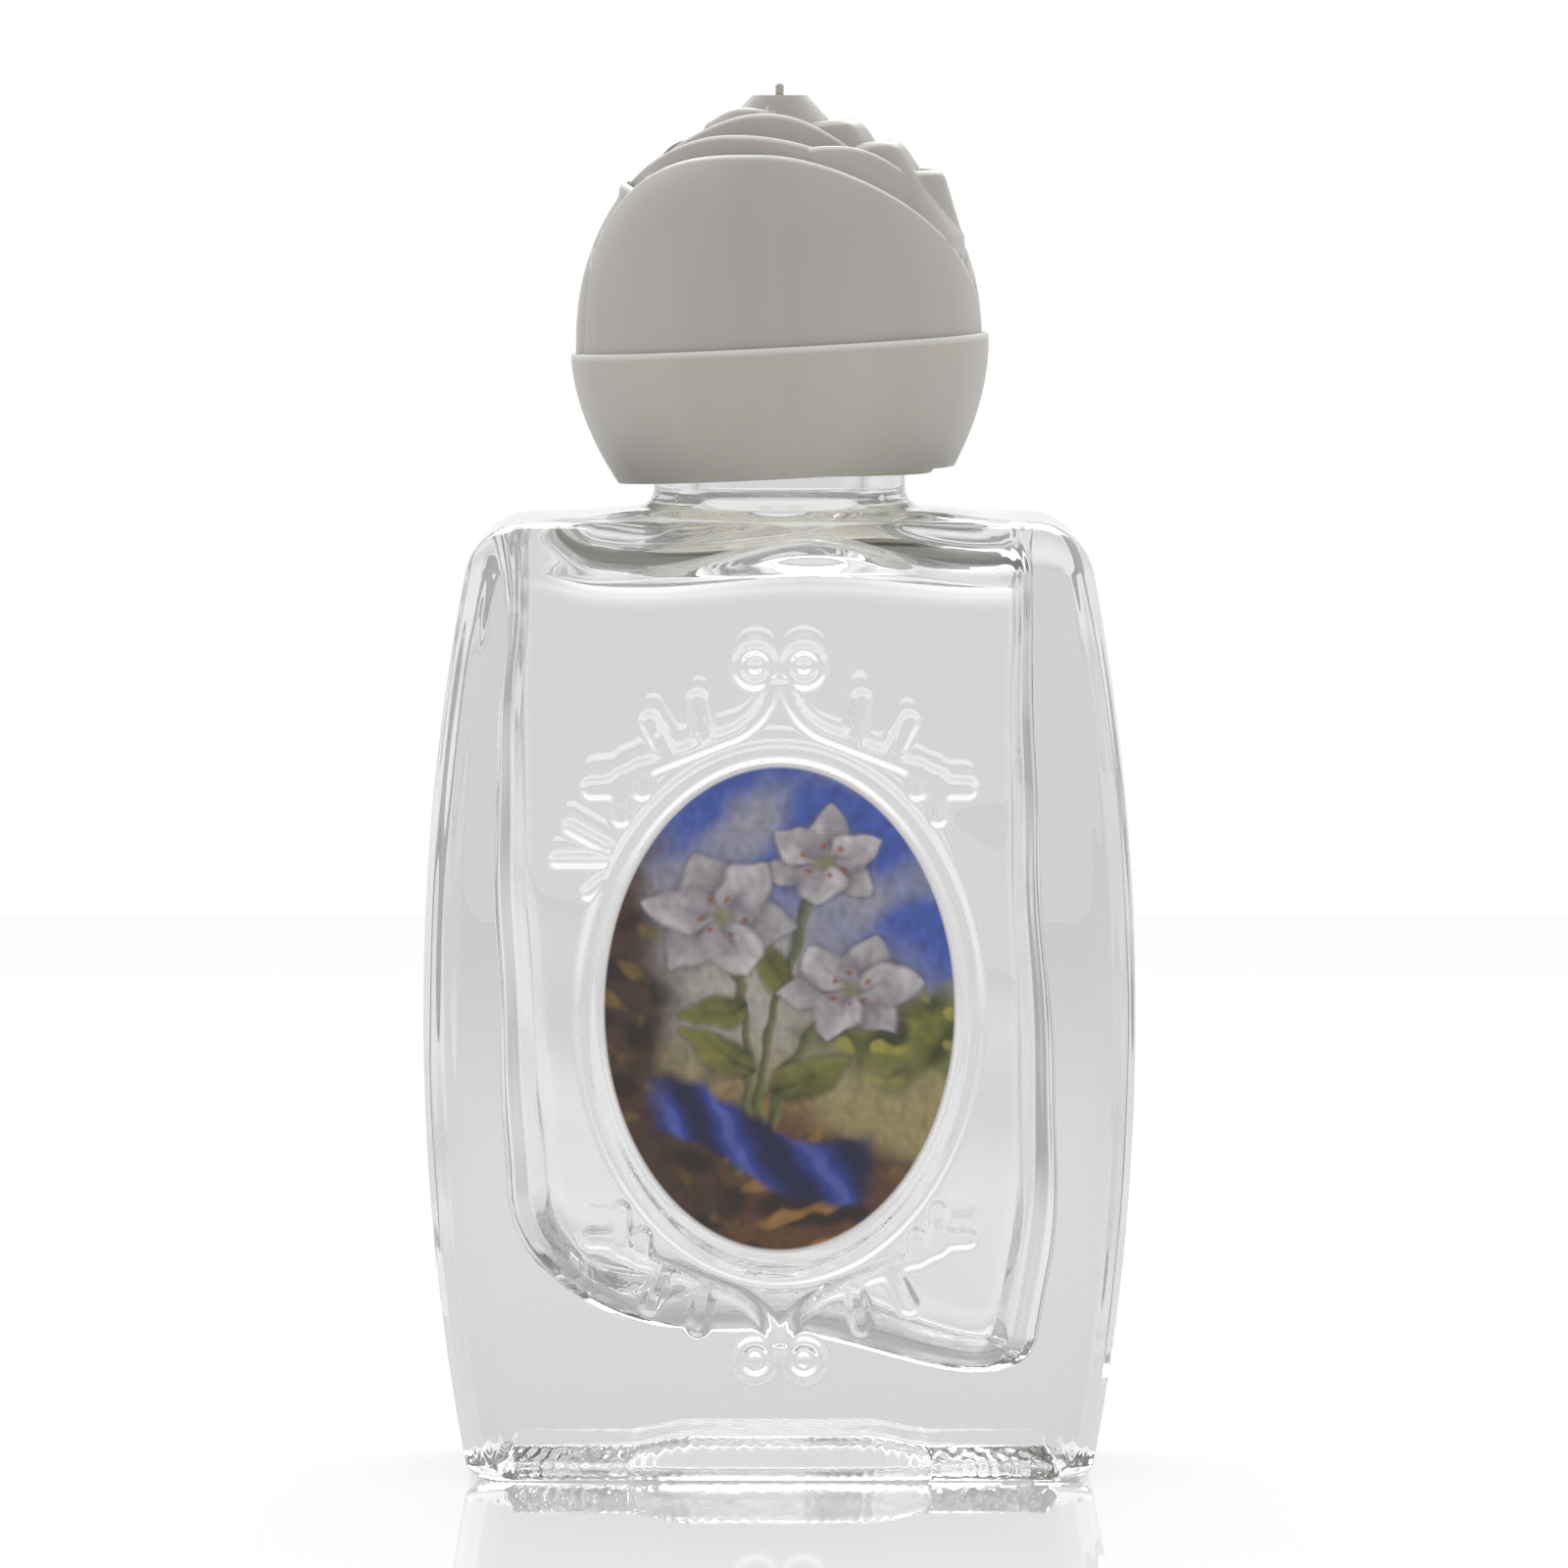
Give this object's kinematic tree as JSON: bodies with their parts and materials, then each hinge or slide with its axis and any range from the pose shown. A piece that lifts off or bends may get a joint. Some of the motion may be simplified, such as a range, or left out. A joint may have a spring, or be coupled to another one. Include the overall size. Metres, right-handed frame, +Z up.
{
  "type": "holy water bottle",
  "caption": "Small flat clear glass bottle with bowed sides, an oval label in a moulded rim and a screw cap shaped as a rosebud, for carrying and pouring a little water.",
  "frame": {"origin": "centre of the base, on the surface that the bottle stands on", "axes": "+Z up along the neck, which is also the cap's screw axis; the label faces -Y; +X to the right as the label is seen"},
  "size_m": [0.0434, 0.0266, 0.0847],
  "materials": {
    "clear_glass": "clear moulded soda-lime glass, thick and slightly wavy",
    "label_print": "printed sticker with a satin face",
    "liner_foam": "white foamed sealing wad",
    "sleeve_plastic": "off-white moulded plastic",
    "collar_plastic": "off-white moulded plastic, satin",
    "rose_plastic": "off-white moulded plastic, satin"
  },
  "bodies": {
    "bottle": {"glass_bottle": "clear_glass", "front_label": "label_print"},
    "liner": {"cap_liner": "liner_foam"},
    "cap": {"cap_sleeve": "sleeve_plastic", "cap_collar": "collar_plastic", "rose_head": "rose_plastic"}
  },
  "joints": [
    {"name": "cap_lift", "type": "slide", "parent": "bottle", "child": "liner", "axis": [0, 0, 1], "range_m": [0, 0.0128]},
    {"name": "cap_turn", "type": "hinge", "parent": "liner", "child": "cap", "pos_m": [0, 0, 0.0698], "axis": [0, 0, 1], "range_deg": [0, 1440]}
  ],
  "couplings": [
    {"joint": "cap_lift", "follows": "cap_turn", "m_per_rad": 0.00050532}
  ]
}
